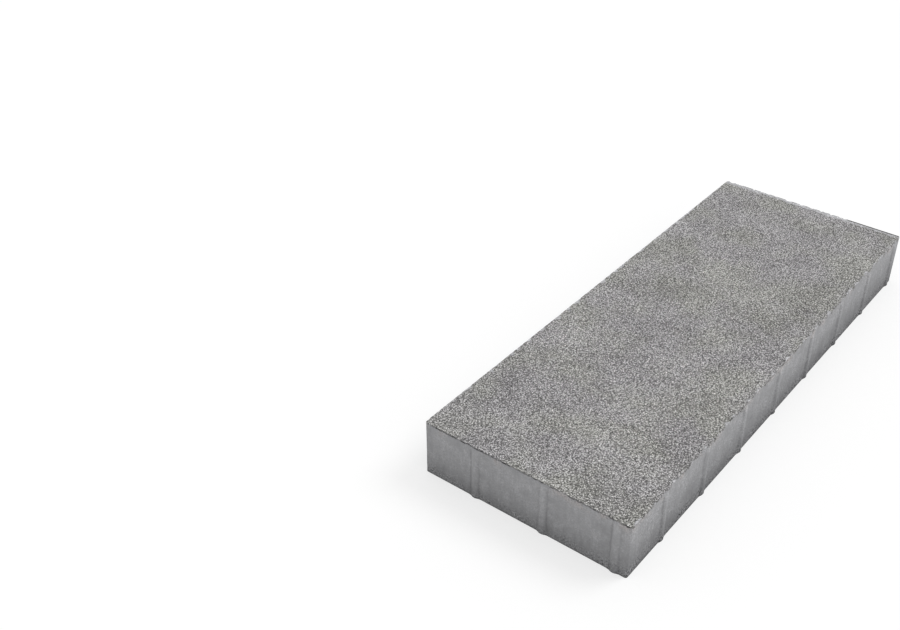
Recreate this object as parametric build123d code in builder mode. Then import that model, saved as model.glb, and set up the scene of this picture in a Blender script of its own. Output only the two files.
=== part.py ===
"""Concrete paving slab, 800 x 300 x 80 mm, cast in one piece with vertical spacer ribs on all four edges.

Sizes are in millimetres. The origin is the middle of the underside, with X across the slab,
Y along it and Z up to the trafficked top.
"""

import os

from build123d import *

# The laying module, which is the slab over its ribs.
module_width = 300.0
module_length = 800.0
slab_height = 80.0

# The vertical corners leave the mould slightly rounded.
corner_radius = 3.0

# Spacer ribs, which hold the next slab off by a joint. Their section is a low trapezium with soft edges.
rib_height = 2.0
rib_base_width = 14.0
rib_crest_width = 4.0
rib_edge_radius = 5.0

# Each rib stands on the underside and runs out down a slope, short of the top.
rib_top_gap = 4.0
rib_runout_length = 8.0

# Seen from outside, the last rib on each edge stands this far from the right-hand corner.
# Every edge has the same pattern, so the ribs of two slabs laid edge to edge pass each other.
rib_pitch = 100.0
rib_end_margin = 18.0

# The slab between its ribs.
body_width = module_width - 2 * rib_height
body_length = module_length - 2 * rib_height

# Ribs on each edge, one for every whole pitch of the module.
ribs_across = int(module_width // rib_pitch)
ribs_along = int(module_length // rib_pitch)

# How far the rib reaches into the slab, and its flat land beside each root.
rib_root_depth = 2 * rib_height
rib_land_width = rib_base_width / 2
rib_top = slab_height - rib_top_gap


# One rib, standing on the XY plane, with its root line on the X axis and its crest toward -Y.
with BuildPart() as rib:
    with BuildSketch() as rib_section:
        with BuildLine():
            Polyline(
                (-rib_base_width / 2 - rib_land_width, rib_root_depth),
                (-rib_base_width / 2 - rib_land_width, 0),
                (-rib_base_width / 2, 0),
                (-rib_crest_width / 2, -rib_height),
                (rib_crest_width / 2, -rib_height),
                (rib_base_width / 2, 0),
                (rib_base_width / 2 + rib_land_width, 0),
                (rib_base_width / 2 + rib_land_width, rib_root_depth),
                close=True,
            )
        make_face()
        corners = rib_section.vertices().group_by(Axis.Y)
        roots = corners[1].sort_by(Axis.X)[1:3]
        fillet(corners[0] + roots, radius=rib_edge_radius)
    extrude(amount=slab_height)

    # The run-out slopes back from the crest and meets the slab's face at the rib's top end.
    slope = Plane(
        origin=(0, 0, rib_top),
        x_dir=(1, 0, 0),
        z_dir=(0, -rib_runout_length, rib_height),
    )
    split(bisect_by=slope, keep=Keep.BOTTOM)


# Where the ribs stand: the front and back edges, then the right and left ones.
last_across = body_width / 2 - rib_end_margin
last_along = body_length / 2 - rib_end_margin
across = [last_across - rib_pitch * n for n in range(ribs_across)]
along = [last_along - rib_pitch * n for n in range(ribs_along)]

with BuildPart() as paving_slab:
    with BuildSketch():
        RectangleRounded(body_width, body_length, corner_radius)
    extrude(amount=slab_height)

    with Locations(*[Location((x, -body_length / 2, 0)) for x in across]):
        add(rib.part)
    with Locations(*[Location((-x, body_length / 2, 0), (0, 0, 180)) for x in across]):
        add(rib.part)
    with Locations(*[Location((body_width / 2, y, 0), (0, 0, 90)) for y in along]):
        add(rib.part)
    with Locations(*[Location((-body_width / 2, -y, 0), (0, 0, -90)) for y in along]):
        add(rib.part)

paving_slab.part.label = "paving_slab"
os.makedirs("parts", exist_ok=True)
export_step(paving_slab.part, "parts/paving_slab.step")
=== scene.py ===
from math import radians

import bpy
import numpy as np
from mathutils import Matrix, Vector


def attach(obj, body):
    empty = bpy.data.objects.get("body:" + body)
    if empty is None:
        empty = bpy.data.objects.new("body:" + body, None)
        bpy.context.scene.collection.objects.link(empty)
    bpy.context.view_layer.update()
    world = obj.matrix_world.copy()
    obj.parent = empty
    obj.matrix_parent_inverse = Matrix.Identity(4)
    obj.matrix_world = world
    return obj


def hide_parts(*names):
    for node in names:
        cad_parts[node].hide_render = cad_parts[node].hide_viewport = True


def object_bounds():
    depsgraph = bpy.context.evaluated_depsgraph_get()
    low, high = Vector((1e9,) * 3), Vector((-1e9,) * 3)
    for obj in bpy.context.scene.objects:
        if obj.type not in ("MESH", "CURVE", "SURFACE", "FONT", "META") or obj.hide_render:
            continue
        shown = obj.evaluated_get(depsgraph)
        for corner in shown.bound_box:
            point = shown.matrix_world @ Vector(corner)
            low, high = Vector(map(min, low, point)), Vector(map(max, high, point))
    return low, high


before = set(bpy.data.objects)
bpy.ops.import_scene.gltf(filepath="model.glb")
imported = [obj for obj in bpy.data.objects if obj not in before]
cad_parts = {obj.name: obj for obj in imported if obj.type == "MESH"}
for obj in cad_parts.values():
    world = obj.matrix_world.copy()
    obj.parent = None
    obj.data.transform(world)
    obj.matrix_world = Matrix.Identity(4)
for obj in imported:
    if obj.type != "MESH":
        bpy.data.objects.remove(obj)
cad_low, cad_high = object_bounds()


# The paving slab.
# One casting of grey concrete, pressed in a steel mould with the ribs that space it from the next slab. Its
# edges keep the mould's smooth skin. Its top was washed until the fine grains of sand and stone stand out.

# The slab between its ribs, in metres, inside the box of the solid.
rib_height = 0.002
half_width = cad_high.x - rib_height
half_length = cad_high.y - rib_height
top_height = cad_high.z

# The top is a grid of squares of 1.8 mm, about the size of its grains.
grains_across = 162
grains_along = 436
bpy.ops.object.select_all(action="DESELECT")
bpy.ops.mesh.primitive_grid_add(
    x_subdivisions=grains_across, y_subdivisions=grains_along, size=2, location=(0, 0, top_height)
)
slab = bpy.context.object
slab.name = "slab_casting"
slab.scale = (half_width, half_length, 1)
bpy.ops.object.transform_apply(location=True, rotation=True, scale=True)

# The four edges are extruded down from the rim of the grid. Their rows lie close together at the arris and
# where the ribs run out, and wider apart below. They stand a little outside the solid, ribs and all.
row_heights = [0.0792, 0.0781, 0.0770, 0.0758, 0.0742, 0.0726, 0.0710, 0.0694, 0.0680, 0.0665]
row_heights += [0.061, 0.054, 0.047, 0.040, 0.033, 0.026, 0.020, 0.014, 0.009, 0.004, 0.0]
outside = 0.003
wider = ((half_width + outside) / half_width, (half_length + outside) / half_length, 1)
bpy.ops.object.mode_set(mode="EDIT")
bpy.ops.mesh.select_mode(type="EDGE")
bpy.ops.mesh.select_all(action="SELECT")
bpy.ops.mesh.region_to_loop()
bpy.ops.mesh.extrude_region_move(TRANSFORM_OT_translate={"value": (0, 0, row_heights[0] - top_height)})
bpy.ops.transform.resize(value=wider, center_override=(0, 0, 0))
for above, below in zip(row_heights, row_heights[1:]):
    bpy.ops.mesh.extrude_region_move(TRANSFORM_OT_translate={"value": (0, 0, below - above)})

# The underside is a flat ring, clear of the ribs, and a fan of faces from it to the middle.
ring_width = 0.010
narrower = (
    (half_width - ring_width) / (half_width + outside),
    (half_length - ring_width) / (half_length + outside),
    1,
)
bpy.ops.mesh.extrude_region_move()
bpy.ops.transform.resize(value=narrower, center_override=(0, 0, 0))
bpy.ops.mesh.extrude_region_move()
bpy.ops.mesh.merge(type="CENTER")
bpy.ops.mesh.select_all(action="SELECT")
bpy.ops.mesh.normals_make_consistent(inside=False)
bpy.ops.object.mode_set(mode="OBJECT")

# The mesh is drawn in to a merged copy of the solid, and takes its ribs, their run-outs and its corners.
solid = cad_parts["paving_slab"]
former = solid.copy()
former.data = solid.data.copy()
bpy.context.scene.collection.objects.link(former)
bpy.ops.object.select_all(action="DESELECT")
former.select_set(True)
bpy.context.view_layer.objects.active = former
bpy.ops.object.mode_set(mode="EDIT")
bpy.ops.mesh.select_all(action="SELECT")
bpy.ops.mesh.remove_doubles(threshold=0.00001)
bpy.ops.object.mode_set(mode="OBJECT")
bpy.ops.object.select_all(action="DESELECT")
slab.select_set(True)
bpy.context.view_layer.objects.active = slab
draw_in = slab.modifiers.new("draw in to the solid", "SHRINKWRAP")
draw_in.target = former
draw_in.wrap_method = "NEAREST_SURFACEPOINT"
bpy.ops.object.modifier_apply(modifier=draw_in.name)
bpy.data.objects.remove(former)

# Which part of the slab a point belongs to, by its place. The arris is crumbled on the right long edge, and
# at the far end up to a hand's width from its right-hand corner. On the left long edge it is a little worn.
places = np.empty(len(slab.data.vertices) * 3, np.float32)
slab.data.vertices.foreach_get("co", places)
x, y, z = places.reshape(-1, 3).T
to_long_edge = half_width - np.abs(x)
to_short_edge = half_length - np.abs(y)
hair = 0.0001
rim_width = 0.0005
corner_width = 0.006
whole_from = 0.062
is_top = z > top_height - hair
on_rim = np.minimum(to_long_edge, to_short_edge) < rim_width
first_row = np.abs(z - row_heights[0]) < hair
second_row = np.abs(z - row_heights[1]) < hair
beside_long_edge = to_long_edge < to_short_edge
crumbled = beside_long_edge | ((y > 0) & (x < whole_from))
worn = beside_long_edge & (x < 0)
at_first_row = 0.5
at_second_row = 0.18
wear = 0.2
zones = [
    # zone, points in it, how much of the relief they take, where a later line replaces an earlier one
    ("washed top", is_top & ~on_rim, 1.0),
    ("arris", is_top & on_rim & crumbled, 1.0),
    ("under the arris", first_row & crumbled, at_first_row),
    ("under the arris", second_row & crumbled, at_second_row),
    ("arris", is_top & on_rim & worn, wear),
    ("under the arris", first_row & worn, wear * at_first_row),
    ("under the arris", second_row & worn, wear * at_second_row),
    ("seam", first_row & ~crumbled & (to_long_edge > corner_width), 1.0),
    ("edges", (z < row_heights[2] + hair) & (z > hair), 1.0),
]
for zone, inside, share in zones:
    group = slab.vertex_groups.get(zone) or slab.vertex_groups.new(name=zone)
    group.add(np.flatnonzero(inside).tolist(), share, "REPLACE")

# How far each point of an edge is from the middle of the nearest rib. There is a rib to each tenth of a
# metre, counted from the right-hand end of the edge as seen from outside.
rib_pitch = 0.100
rib_end_margin = 0.018
along_edge = np.where(beside_long_edge, y * np.sign(x), -x * np.sign(y))
last_rib = np.where(beside_long_edge, half_length, half_width) - rib_end_margin
rib_distances = np.abs((along_edge - last_rib + rib_pitch / 2) % rib_pitch - rib_pitch / 2)
rib_attribute = slab.data.attributes.new("from_rib", "FLOAT", "POINT")
rib_attribute.data.foreach_set("value", rib_distances.astype(np.float32))

# Each finish takes a little off the solid and adds nothing: the relief of the grains, their uneven seats,
# the crumbled arris, which is worn back and down, the fine seam under it where it is whole, on the short
# edges, and the slight waviness of the mould's plates.
whole_level = 0.52
deepest_level = 0.18
reliefs = [
    # zone, texture kind, real size, depth, level that stays on the solid, direction
    ("washed top", "VORONOI", 0.0030, -0.0004, 0.0, "Z"),
    ("washed top", "CLOUDS", 0.0045, 0.0003, 1.0, "Z"),
    ("arris", "CLOUDS", 0.0070, 0.0020, 1.0, "NORMAL"),
    ("under the arris", "CLOUDS", 0.0070, 0.0020, 1.0, "NORMAL"),
    ("under the arris", "CLOUDS", 0.0070, 0.0020, 1.0, "Z"),
    ("seam", "CLOUDS", 0.0060, 0.0018, 1.0, "NORMAL"),
    ("edges", "CLOUDS", 0.0200, 0.0003, 1.0, "NORMAL"),
]
for zone, kind, size, depth, level, direction in reliefs:
    pattern = bpy.data.textures.new(zone, kind)
    pattern.noise_scale = size
    if "arris" in zone:
        # About half of the arris is whole, and bites are out of the rest.
        pattern.use_color_ramp = True
        pattern.color_ramp.elements[0].position = deepest_level
        pattern.color_ramp.elements[1].position = whole_level
    relief = slab.modifiers.new(zone, "DISPLACE")
    relief.texture = pattern
    relief.texture_coords = "LOCAL"
    relief.direction = direction
    relief.vertex_group = zone
    relief.strength = depth
    relief.mid_level = level
    bpy.ops.object.modifier_apply(modifier=relief.name)
bpy.ops.object.shade_smooth_by_angle(angle=radians(50))


def add_node(tree, kind, settings=None, inputs=None):
    """Adds a node with its settings. An input takes a value, an output, or a node for its first output.

    Inputs go by name or number. A Map Range turns the span from 1 to 2 into the span from 3 to 4, and a Mix
    goes from 2 to 3, or from 6 to 7 for colours.
    """
    made = tree.nodes.new(kind)
    for name, value in (settings or {}).items():
        setattr(made, name, value)
    for socket, value in (inputs or {}).items():
        if isinstance(value, bpy.types.Node):
            value = value.outputs[0]
        if isinstance(value, bpy.types.NodeSocket):
            tree.links.new(value, made.inputs[socket])
        else:
            made.inputs[socket].default_value = value
    return made


def linear(code):
    """An sRGB hex colour as linear red, green, blue and alpha."""
    parts = [int(code[n : n + 2], 16) / 255 for n in (0, 2, 4)]
    return [p / 12.92 if p <= 0.04045 else ((p + 0.055) / 1.055) ** 2.4 for p in parts] + [1.0]


def grey(level):
    """A linear level as a colour, for the stop of a ramp."""
    return (level, level, level, 1.0)


# Cast concrete, washed on top and smooth from the mould on its edges.
# The eye sees a dense speckle of light and dark grains on the top, and soft upright streaks on the edges.
concrete = bpy.data.materials.new("cast_concrete")
concrete.use_nodes = True
tree = concrete.node_tree
shader = tree.nodes["Principled BSDF"]
coords = add_node(tree, "ShaderNodeTexCoord").outputs["Object"]
across, along, above_bed = add_node(tree, "ShaderNodeSeparateXYZ", None, {0: coords}).outputs

# Sand of about 0.7 mm: each cell is one grain with a shade of its own.
sand_size = 0.0007
sand = add_node(tree, "ShaderNodeTexVoronoi", {"feature": "F1"}, {"Vector": coords, "Scale": 1 / sand_size})
shade_of_sand = add_node(tree, "ShaderNodeSeparateColor", None, {0: sand.outputs["Color"]})
sand_colour = add_node(tree, "ShaderNodeValToRGB", None, {0: shade_of_sand})
ramp = sand_colour.color_ramp
ramp.elements[0].color = linear("484848")
ramp.elements[1].color = linear("e0e0e0")
for stop, code in ((0.25, "6a6a6a"), (0.5, "929292"), (0.75, "b8b8b8")):
    ramp.elements.new(stop).color = linear(code)

# The sand sits in coarser grains of about 2.3 mm, each painted paler on its crown as if lit, with painted
# shade darkening the paste in the gaps between them.
grain_size = 0.0023
grains = add_node(
    tree, "ShaderNodeTexVoronoi", {"feature": "F1"}, {"Vector": coords, "Scale": 1 / grain_size}
)
from_crown = grains.outputs["Distance"]
crown_light_gap_shade = add_node(tree, "ShaderNodeMapRange", None, {0: from_crown, 1: 0.10, 2: 0.65, 3: 2.265, 4: 0.565})

# Soft patches a hand's width across dried lighter or darker, and others warmer or cooler. No grain is quite
# white.
patch_size = 0.08
tint_size = 0.07
whitest = (0.9, 0.9, 0.9)
patches = add_node(
    tree, "ShaderNodeTexNoise", None, {"Vector": coords, "Scale": 1 / patch_size, "Detail": 3.0}
)
patch_light = add_node(tree, "ShaderNodeMapRange", None, {0: patches, 1: 0.25, 2: 0.75, 3: 0.785, 4: 1.215})
elsewhere = add_node(tree, "ShaderNodeMapping", None, {"Vector": coords, "Location": (3.0, 1.0, 2.0)})
tints = add_node(
    tree, "ShaderNodeTexNoise", None, {"Vector": elsewhere, "Scale": 1 / tint_size, "Detail": 3.0}
)
tint = add_node(tree, "ShaderNodeValToRGB", None, {0: tints})
ramp = tint.color_ramp
ramp.elements[0].position = 0.4
ramp.elements[0].color = linear("fdfcf6")
ramp.elements[1].position = 0.6
ramp.elements[1].color = linear("fffcfe")
washed = sand_colour
for light in (crown_light_gap_shade, patch_light):
    washed = add_node(tree, "ShaderNodeVectorMath", {"operation": "SCALE"}, {0: washed, "Scale": light})
for operation, other in (("MULTIPLY", tint), ("MINIMUM", whitest)):
    washed = add_node(tree, "ShaderNodeVectorMath", {"operation": operation}, {0: washed, 1: other})

# How far a point lies in from the nearest long edge, in from the nearest short edge, and under the top.
# Measured over the top and then down the edge, the way in from an edge goes on as a minus.
mirrored = add_node(tree, "ShaderNodeVectorMath", {"operation": "ABSOLUTE"}, {0: coords})
outline = (half_width, half_length, top_height)
inwards = add_node(tree, "ShaderNodeVectorMath", {"operation": "SUBTRACT"}, {0: outline, 1: mirrored})
from_long, from_short, under_top = add_node(tree, "ShaderNodeSeparateXYZ", None, {0: inwards}).outputs
over_long = add_node(tree, "ShaderNodeMath", {"operation": "SUBTRACT"}, {0: from_long, 1: under_top})
over_short = add_node(tree, "ShaderNodeMath", {"operation": "SUBTRACT"}, {0: from_short, 1: under_top})
on_long = add_node(tree, "ShaderNodeMapRange", None, {0: from_long, 1: 0.0005, 2: 0.0025, 3: 1.0, 4: 0.0})
on_short = add_node(tree, "ShaderNodeMapRange", None, {0: from_short, 1: 0.0004, 2: 0.0008, 3: 1.0, 4: 0.0})
at_far_end = add_node(tree, "ShaderNodeMapRange", None, {0: along, 1: -0.05, 2: 0.05, 3: 0.0, 4: 1.0})

# The mould's skin: pale cement paste, cloudy, with faint streaks drawn upright as the slab left the mould.
cloud_size = 0.022
streak_width = 0.005
clouds = add_node(
    tree,
    "ShaderNodeTexNoise",
    None,
    {"Vector": coords, "Scale": 1 / cloud_size, "Detail": 6.0, "Roughness": 0.62},
)
upright = add_node(tree, "ShaderNodeMapping", None, {"Vector": coords, "Scale": (1.0, 1.0, 0.2)})
streaks = add_node(
    tree, "ShaderNodeTexNoise", None, {"Vector": upright, "Scale": 1 / streak_width, "Detail": 2.0}
)
mottle = add_node(tree, "ShaderNodeMath", {"operation": "MULTIPLY_ADD"}, {0: streaks, 1: 0.35, 2: clouds})
skin_light = add_node(tree, "ShaderNodeMapRange", None, {0: mottle, 1: 0.30, 2: 1.05, 3: 0.72, 4: 1.28})

# The skin is more open at the foot and just under the top, where single grains show in it, most of all on
# the long edges.
share_of_height = add_node(
    tree, "ShaderNodeMapRange", None, {0: above_bed, 1: 0.0, 2: top_height, 3: 0.0, 4: 1.0}
)
openness = add_node(tree, "ShaderNodeValToRGB", None, {0: share_of_height})
ramp = openness.color_ramp
ramp.elements[0].color = grey(1.0)
ramp.elements[1].color = grey(0.7)
for stop, level in ((0.09, 0.8), (0.22, 0.25), (0.90, 0.25), (0.96, 0.5)):
    ramp.elements.new(stop).color = grey(level)
long_openness = add_node(tree, "ShaderNodeMapRange", None, {0: on_long, 1: 0.0, 2: 1.0, 3: 1.0, 4: 1.7})
bareness = add_node(tree, "ShaderNodeMapRange", None, {0: clouds, 1: 0.40, 2: 0.60, 3: 0.3, 4: 1.0})
for share in (openness, long_openness):
    bareness = add_node(tree, "ShaderNodeMath", {"operation": "MULTIPLY"}, {0: bareness, 1: share})
speck_size = 0.0022
specks = add_node(
    tree, "ShaderNodeTexNoise", None, {"Vector": coords, "Scale": 1 / speck_size, "Detail": 2.0}
)
speckle = add_node(tree, "ShaderNodeMapRange", None, {0: specks, 1: 0.3, 2: 0.7, 3: -0.80, 4: 0.65})
speck = add_node(tree, "ShaderNodeMath", {"operation": "MULTIPLY_ADD"}, {0: speckle, 1: bareness, 2: 1.0})

# Painted shade: the skin is darker towards the bed, as in the shade near the floor, and darkest in a line of
# painted contact shadow along its foot. On the long edges a painted gradient of shade also runs from darker
# at the bed to paler at the top.
foot = add_node(
    tree,
    "ShaderNodeMapRange",
    {"interpolation_type": "SMOOTHSTEP"},
    {0: above_bed, 1: -0.010, 2: 0.055, 3: 0.82, 4: 1.01},
)
height_shade = add_node(tree, "ShaderNodeMapRange", None, {0: above_bed, 1: 0.0, 2: top_height, 3: 0.847, 4: 1.119})
long_edge_shade = add_node(tree, "ShaderNodeMix", {"data_type": "FLOAT"}, {0: on_long, 2: 1.0, 3: height_shade})
foot_contact_shadow = add_node(tree, "ShaderNodeMapRange", None, {0: above_bed, 1: 0.0008, 2: 0.0030, 3: 0.7, 4: 1.0})
for light in (long_edge_shade, foot_contact_shadow):
    foot = add_node(tree, "ShaderNodeMath", {"operation": "MULTIPLY"}, {0: foot, 1: light})

# A painted highlight makes a rib paler on its crest, and painted shade comes and goes as a dark line in the
# root on each side of it, up to where the rib runs out.
rib_shade_reach = 0.012
rib_shade_size = 0.012
from_rib = add_node(tree, "ShaderNodeAttribute", {"attribute_name": "from_rib"}).outputs["Fac"]
waver = add_node(tree, "ShaderNodeMapRange", None, {0: clouds, 1: 0.3, 2: 0.7, 3: -0.0011, 4: 0.0011})
wavering = add_node(tree, "ShaderNodeMath", {"operation": "ADD"}, {0: from_rib, 1: waver})
rib_span = add_node(tree, "ShaderNodeMapRange", None, {0: wavering, 1: 0.0, 2: rib_shade_reach, 3: 0.0, 4: 1.0})
root_shade_crest_highlight = add_node(tree, "ShaderNodeValToRGB", None, {0: rib_span})
ramp = root_shade_crest_highlight.color_ramp
ramp.interpolation = "EASE"
ramp.elements[0].color = grey(1.06)
ramp.elements[1].color = grey(0.98)
for distance, level in ((0.0022, 1.06), (0.0038, 0.99), (0.0061, 0.79), (0.0086, 0.96)):
    ramp.elements.new(distance / rib_shade_reach).color = grey(level)
below_runout = add_node(tree, "ShaderNodeMapRange", None, {0: above_bed, 1: 0.070, 2: 0.077, 3: 1.0, 4: 0.0})
nearest = add_node(tree, "ShaderNodeMath", {"operation": "MINIMUM"}, {0: from_long, 1: from_short})
on_edges = add_node(tree, "ShaderNodeMapRange", None, {0: nearest, 1: 0.0005, 2: 0.0015, 3: 1.0, 4: 0.0})
rib_shade_breakup = add_node(
    tree, "ShaderNodeTexNoise", None, {"Vector": upright, "Scale": 1 / rib_shade_size, "Detail": 3.0}
)
rib_shade_strength = add_node(tree, "ShaderNodeMapRange", None, {0: rib_shade_breakup, 1: 0.38, 2: 0.62, 3: 0.45, 4: 1.15})
for limit in (below_runout, on_edges):
    rib_shade_strength = add_node(tree, "ShaderNodeMath", {"operation": "MULTIPLY"}, {0: rib_shade_strength, 1: limit})
rib_shade_and_highlight = add_node(
    tree, "ShaderNodeMix", {"data_type": "FLOAT", "clamp_factor": False}, {0: rib_shade_strength, 2: 1.0, 3: root_shade_crest_highlight}
)

# All this, painted shade and highlights included, comes together in the grey of the cement. Where the skin
# lies open on the top, as in a strip along the far end, it is paler.
cement_grey = linear("a9a9ab")[:3]
on_top = add_node(tree, "ShaderNodeMapRange", None, {0: under_top, 1: 0.0008, 2: 0.0020, 3: 1.22, 4: 1.0})
skin_shade = skin_light
for light in (foot, speck, rib_shade_and_highlight, on_top):
    skin_shade = add_node(tree, "ShaderNodeMath", {"operation": "MULTIPLY"}, {0: skin_shade, 1: light})
skin = add_node(tree, "ShaderNodeVectorMath", {"operation": "SCALE"}, {0: cement_grey, "Scale": skin_shade})

# The washing ends in a ragged line at the arris. On the long edges it strays 2 or 3 mm to each side, and
# there the bare cement shows. It reaches further over them near the corners. At the near end it is nearly
# straight, and at the far one it stops a few millimetres short.
rag_size = 0.013
rag = add_node(
    tree,
    "ShaderNodeTexNoise",
    None,
    {"Vector": coords, "Scale": 1 / rag_size, "Detail": 5.0, "Roughness": 0.62},
)
long_rag = add_node(tree, "ShaderNodeMapRange", None, {0: rag, 1: 0.32, 2: 0.68, 3: -0.0075, 4: 0.0070})
to_corner = add_node(tree, "ShaderNodeMapRange", None, {0: from_short, 1: 0.0, 2: 0.12, 3: -0.0022, 4: 0.0})
long_limit = add_node(tree, "ShaderNodeMath", {"operation": "ADD"}, {0: long_rag, 1: to_corner})
near_limit = add_node(tree, "ShaderNodeMapRange", None, {0: rag, 1: 0.25, 2: 0.75, 3: -0.0009, 4: 0.0002})
far_limit = add_node(tree, "ShaderNodeMapRange", None, {0: rag, 1: 0.32, 2: 0.68, 3: 0.0030, 4: 0.0095})
short_limit = add_node(
    tree, "ShaderNodeMix", {"data_type": "FLOAT"}, {0: at_far_end, 2: near_limit, 3: far_limit}
)
past_long = add_node(tree, "ShaderNodeMath", {"operation": "SUBTRACT"}, {0: over_long, 1: long_limit})
past_short = add_node(tree, "ShaderNodeMath", {"operation": "SUBTRACT"}, {0: over_short, 1: short_limit})
past_line = add_node(tree, "ShaderNodeMath", {"operation": "MINIMUM"}, {0: past_long, 1: past_short})
is_past = add_node(tree, "ShaderNodeMapRange", None, {0: past_line, 1: -0.0006, 2: 0.0006, 3: 0.0, 4: 1.0})
near_top = add_node(tree, "ShaderNodeMapRange", None, {0: under_top, 1: 0.010, 2: 0.012, 3: 1.0, 4: 0.0})
is_washed = add_node(tree, "ShaderNodeMath", {"operation": "MULTIPLY"}, {0: is_past, 1: near_top})

# Painted shadow in short dark tears where the top and the skin part, on the long edges.
tear_size = 0.006
tear_shadows = add_node(tree, "ShaderNodeTexNoise", None, {"Vector": coords, "Scale": 1 / tear_size, "Detail": 2.0})
tear_shadows = add_node(tree, "ShaderNodeMapRange", None, {0: tear_shadows, 1: 0.52, 2: 0.60, 3: 0.0, 4: 0.6})
off_line = add_node(tree, "ShaderNodeMath", {"operation": "ABSOLUTE"}, {0: past_long})
on_line = add_node(tree, "ShaderNodeMapRange", None, {0: off_line, 1: 0.0004, 2: 0.0011, 3: 1.0, 4: 0.0})
off_short = add_node(tree, "ShaderNodeMapRange", None, {0: from_short, 1: 0.001, 2: 0.002, 3: 0.0, 4: 1.0})
for limit in (on_line, near_top, off_short):
    tear_shadows = add_node(tree, "ShaderNodeMath", {"operation": "MULTIPLY"}, {0: tear_shadows, 1: limit})

# Painted shadow in the fine seam under the top of the two short edges, here wider and there closed. It fades
# out just before the left-hand corners.
fray_size = 0.0035
gap_size = 0.010
seam_reach = 0.003
fray = add_node(tree, "ShaderNodeTexNoise", None, {"Vector": coords, "Scale": 1 / fray_size, "Detail": 2.0})
fray = add_node(tree, "ShaderNodeMapRange", None, {0: fray, 1: 0.3, 2: 0.7, 3: -0.0009, 4: 0.0009})
frayed = add_node(tree, "ShaderNodeMath", {"operation": "ADD"}, {0: under_top, 1: fray})
seam_span = add_node(tree, "ShaderNodeMapRange", None, {0: frayed, 1: 0.0, 2: seam_reach, 3: 0.0, 4: 1.0})
seam = add_node(tree, "ShaderNodeValToRGB", None, {0: seam_span})
ramp = seam.color_ramp
ramp.elements[0].color = grey(1.0)
ramp.elements[1].color = grey(0.0)
for stop, level in ((0.45, 1.0), (0.65, 0.35)):
    ramp.elements.new(stop).color = grey(level)
gaps = add_node(tree, "ShaderNodeTexNoise", None, {"Vector": coords, "Scale": 1 / gap_size, "Detail": 4.0})
gaps = add_node(tree, "ShaderNodeMapRange", None, {0: gaps, 1: 0.38, 2: 0.58, 3: 0.15, 4: 1.0})
left_corner = 0.002 - half_width
left_clear = 0.012 - half_width
off_corner = add_node(
    tree, "ShaderNodeMapRange", None, {0: across, 1: left_corner, 2: left_clear, 3: 0.0, 4: 1.0}
)
for limit in (gaps, on_short, off_corner):
    seam = add_node(tree, "ShaderNodeMath", {"operation": "MULTIPLY"}, {0: seam, 1: limit})

# Painted shadow lies on the far arris too, along its whole part on the right.
whole_clear = whole_from + 0.004
far_arris_shadow = add_node(
    tree, "ShaderNodeMapRange", None, {0: from_short, 1: 0.0018, 2: 0.0026, 3: 0.85, 4: 0.0}
)
on_whole = add_node(
    tree, "ShaderNodeMapRange", None, {0: across, 1: whole_from, 2: whole_clear, 3: 0.0, 4: 1.0}
)
on_arris = add_node(tree, "ShaderNodeMapRange", None, {0: under_top, 1: 0.0005, 2: 0.0030, 3: 1.0, 4: 0.0})
for limit in (on_whole, at_far_end, on_arris):
    far_arris_shadow = add_node(tree, "ShaderNodeMath", {"operation": "MULTIPLY"}, {0: far_arris_shadow, 1: limit})

# A faint warm stain comes and goes on the skin just under the arris.
stain = add_node(
    tree,
    "ShaderNodeMapRange",
    {"interpolation_type": "SMOOTHSTEP"},
    {0: above_bed, 1: 0.064, 2: 0.077, 3: 0.0, 4: 1.0},
)
spots = add_node(tree, "ShaderNodeMapRange", None, {0: clouds, 1: 0.50, 2: 0.62, 3: 0.0, 4: 0.5})
not_washed = add_node(tree, "ShaderNodeMath", {"operation": "SUBTRACT"}, {0: 1.0, 1: is_washed})
off_top = add_node(tree, "ShaderNodeMapRange", None, {0: under_top, 1: 0.0008, 2: 0.0020, 3: 0.0, 4: 1.0})
for limit in (spots, not_washed, off_top):
    stain = add_node(tree, "ShaderNodeMath", {"operation": "MULTIPLY"}, {0: stain, 1: limit})

# The washed top is laid over the skin, then the painted shadows in the tears, the seam and the far arris
# over both, and the stain last.
shadow_grey = linear("3a3838")
seam_shadow_grey = linear("262525")
stain_tint = linear("fff4ec")
coats = [
    # where it lies, its colour, how it is laid on
    (is_washed, washed, "MIX"),
    (tear_shadows, shadow_grey, "MIX"),
    (seam, seam_shadow_grey, "MIX"),
    (far_arris_shadow, shadow_grey, "MIX"),
    (stain, stain_tint, "MULTIPLY"),
]
colour = skin.outputs[0]
for where, coat, blend in coats:
    mix = add_node(
        tree, "ShaderNodeMix", {"data_type": "RGBA", "blend_type": blend}, {0: where, 6: colour, 7: coat}
    )
    colour = mix.outputs[2]
tree.links.new(colour, shader.inputs["Base Color"])
shader.inputs["Roughness"].default_value = 0.9
shader.inputs["Specular IOR Level"].default_value = 0.3

# Grains stand out on the top. The skin is nearly smooth, and finely pitted where it is open.
grit_size = 0.0010
relief_depth = 0.0005
grit = add_node(tree, "ShaderNodeTexNoise", None, {"Vector": coords, "Scale": 1 / grit_size, "Detail": 3.0})
from_grain = sand.outputs["Distance"]
grain_rise = add_node(tree, "ShaderNodeMath", {"operation": "SUBTRACT"}, {0: grit, 1: from_grain})
skin_rise = add_node(tree, "ShaderNodeMath", {"operation": "MULTIPLY_ADD"}, {0: speck, 1: 0.35, 2: mottle})
height = add_node(
    tree, "ShaderNodeMix", {"data_type": "FLOAT"}, {0: is_washed, 2: skin_rise, 3: grain_rise}
)
bump = add_node(tree, "ShaderNodeBump", None, {"Height": height, "Distance": relief_depth, "Strength": 1.0})
tree.links.new(bump.outputs[0], shader.inputs["Normal"])

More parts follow.
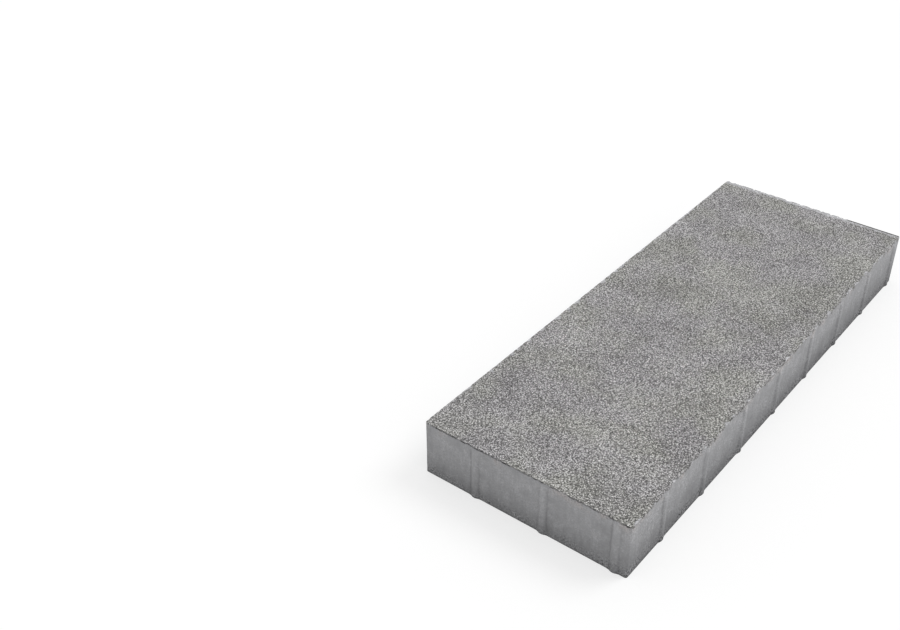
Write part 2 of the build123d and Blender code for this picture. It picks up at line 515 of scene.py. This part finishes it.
slab.data.materials.clear()
slab.data.materials.append(concrete)
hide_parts("paving_slab")
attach(slab, "root")


# The floor.
# A sheet of white paper, which is the ground of the picture and not part of the slab. It shows white, and
# keeps the slab's shadow.


def seen_rays(tree):
    """1 for a ray from the camera, straight or by way of gloss or glass, and 0 for any other."""
    rays = add_node(tree, "ShaderNodeLightPath").outputs
    seen = rays["Is Camera Ray"]
    for kind in ("Is Glossy Ray", "Is Transmission Ray"):
        seen = add_node(tree, "ShaderNodeMath", {"operation": "MAXIMUM"}, {0: seen, 1: rays[kind]})
    return seen


floor_size = 40
white = grey(1.0)
bpy.ops.object.select_all(action="DESELECT")
bpy.ops.mesh.primitive_plane_add(size=floor_size, location=(0, 0, 0))
floor = bpy.context.object
floor.name = "floor"
paper = bpy.data.materials.new("white_paper")
paper.use_nodes = True
tree = paper.node_tree
tree.nodes.clear()
lit = add_node(tree, "ShaderNodeBsdfDiffuse", None, {"Color": white})
glow = add_node(tree, "ShaderNodeEmission", None, {"Color": white, "Strength": 1.04})
shown = add_node(tree, "ShaderNodeMixShader", None, {0: 0.6, 1: lit, 2: glow})

# The strip of floor beside the slab gives little light back to it, as under a thing that lies flat.
dull_strip = 0.12
coords = add_node(tree, "ShaderNodeTexCoord").outputs["Object"]
footprint = (half_width, half_length, 0.0)
beside = add_node(tree, "ShaderNodeVectorMath", {"operation": "ABSOLUTE"}, {0: coords})
for operation, other in (("SUBTRACT", footprint), ("MAXIMUM", (0.0, 0.0, 0.0))):
    beside = add_node(tree, "ShaderNodeVectorMath", {"operation": operation}, {0: beside, 1: other})
from_slab = add_node(tree, "ShaderNodeVectorMath", {"operation": "LENGTH"}, {0: beside}).outputs["Value"]
give_back = add_node(tree, "ShaderNodeMapRange", None, {0: from_slab, 1: 0.0, 2: dull_strip, 3: 0.0, 4: 0.8})
bounced = add_node(tree, "ShaderNodeBsdfDiffuse", None, {"Color": give_back})
either = add_node(tree, "ShaderNodeMixShader", None, {0: seen_rays(tree), 1: bounced, 2: shown})
add_node(tree, "ShaderNodeOutputMaterial", None, {"Surface": either})
floor.data.materials.append(paper)


# The light.
# An even white room, with one broad lamp behind the slab on its right. The room shows white, and lights the
# slab a little less.
world = bpy.data.worlds.new("white room")
bpy.context.scene.world = world
world.use_nodes = True
tree = world.node_tree
tree.nodes.clear()
seen = seen_rays(tree)
strength = add_node(tree, "ShaderNodeMapRange", None, {0: seen, 1: 0.0, 2: 1.0, 3: 0.72, 4: 1.0})
room = add_node(tree, "ShaderNodeBackground", None, {"Color": white, "Strength": strength})
add_node(tree, "ShaderNodeOutputWorld", None, {"Surface": room})

bpy.ops.object.light_add(type="SUN", location=(1.5, 1.5, 3), rotation=(radians(-32), radians(26), 0))
lamp = bpy.context.object
lamp.name = "broad_lamp"
lamp.data.energy = 1.04
lamp.data.angle = radians(30)


# The camera.
# It stands at the photograph's place: to the right of the front edge, looking down on the slab. The shift is
# what the photograph's crop needs.
looking_down = 34.149
round_to_right = 37.989
bpy.ops.object.camera_add(
    location=(0.57346, -1.24411, 1.00899), rotation=(radians(90 - looking_down), 0, radians(round_to_right))
)
camera = bpy.context.object
camera.data.sensor_width = 36.0
camera.data.lens = 46.7456
camera.data.shift_x = -0.01538
camera.data.shift_y = -0.01199
camera.data.clip_start = 0.05
camera.data.clip_end = 60
bpy.context.scene.camera = camera
bpy.context.scene.view_settings.view_transform = "Standard"
